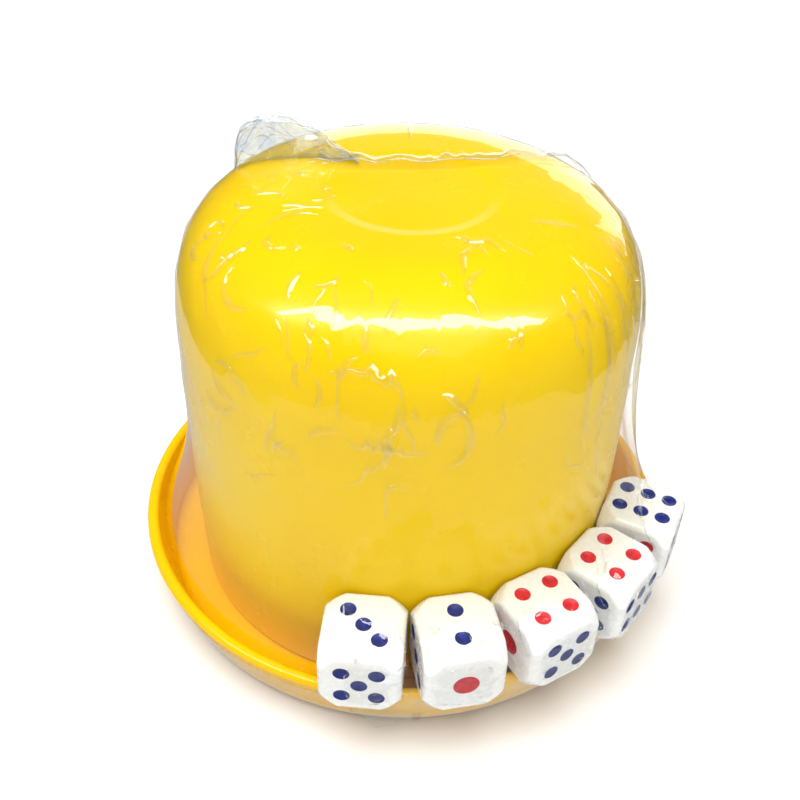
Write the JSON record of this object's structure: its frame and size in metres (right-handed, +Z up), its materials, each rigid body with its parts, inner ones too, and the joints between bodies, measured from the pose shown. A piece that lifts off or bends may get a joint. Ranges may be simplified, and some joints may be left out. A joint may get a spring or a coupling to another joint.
{
  "type": "dice cup set",
  "caption": "Upturned round dice cup in a shallow tray, with dice standing on the tray's rim, wrapped in clear shrink film.",
  "frame": {"origin": "centre of the tray's foot, on the surface that it stands on", "axes": "+Z up through the cup, -Y towards the side with the dice"},
  "size_m": [0.1248, 0.1257, 0.0932],
  "materials": {
    "tray_plastic": "glossy moulded yellow plastic",
    "cup_plastic": "glossy moulded yellow plastic",
    "clear_film": "clear glossy shrink film",
    "die_body": "tumbled white plastic",
    "blue_paint": "glossy blue enamel fill",
    "red_paint": "glossy red enamel fill"
  },
  "bodies": {
    "tray": {"tray": "tray_plastic"},
    "cup": {"cup": "cup_plastic"},
    "film": {"shrink_film": "clear_film"},
    "die_1": {"die_1": "die_body", "die_1_blue_pips": "blue_paint", "die_1_red_pips": "red_paint"},
    "die_2": {"die_2": "die_body", "die_2_blue_pips": "blue_paint", "die_2_red_pips": "red_paint"},
    "die_3": {"die_3": "die_body", "die_3_blue_pips": "blue_paint", "die_3_red_pips": "red_paint"},
    "die_4": {"die_4": "die_body", "die_4_blue_pips": "blue_paint", "die_4_red_pips": "red_paint"},
    "die_5": {"die_5": "die_body", "die_5_blue_pips": "blue_paint", "die_5_red_pips": "red_paint"}
  },
  "joints": [
    {"name": "cup_lift", "type": "slide", "parent": "tray", "child": "cup", "axis": [0, 0, 1], "range_m": [0, 0.12]},
    {"name": "film_pull_off", "type": "slide", "parent": "cup", "child": "film", "axis": [0, 0, 1], "range_m": [0, 0.13], "deforming": ["shrink_film"]},
    {"name": "die_1_lift", "type": "slide", "parent": "tray", "child": "die_1", "axis": [0, 0, 1], "range_m": [0, 0.08]},
    {"name": "die_2_lift", "type": "slide", "parent": "tray", "child": "die_2", "axis": [0, 0, 1], "range_m": [0, 0.08]},
    {"name": "die_3_lift", "type": "slide", "parent": "tray", "child": "die_3", "axis": [0, 0, 1], "range_m": [0, 0.08]},
    {"name": "die_4_lift", "type": "slide", "parent": "tray", "child": "die_4", "axis": [0, 0, 1], "range_m": [0, 0.08]},
    {"name": "die_5_lift", "type": "slide", "parent": "tray", "child": "die_5", "axis": [0, 0, 1], "range_m": [0, 0.08]}
  ]
}
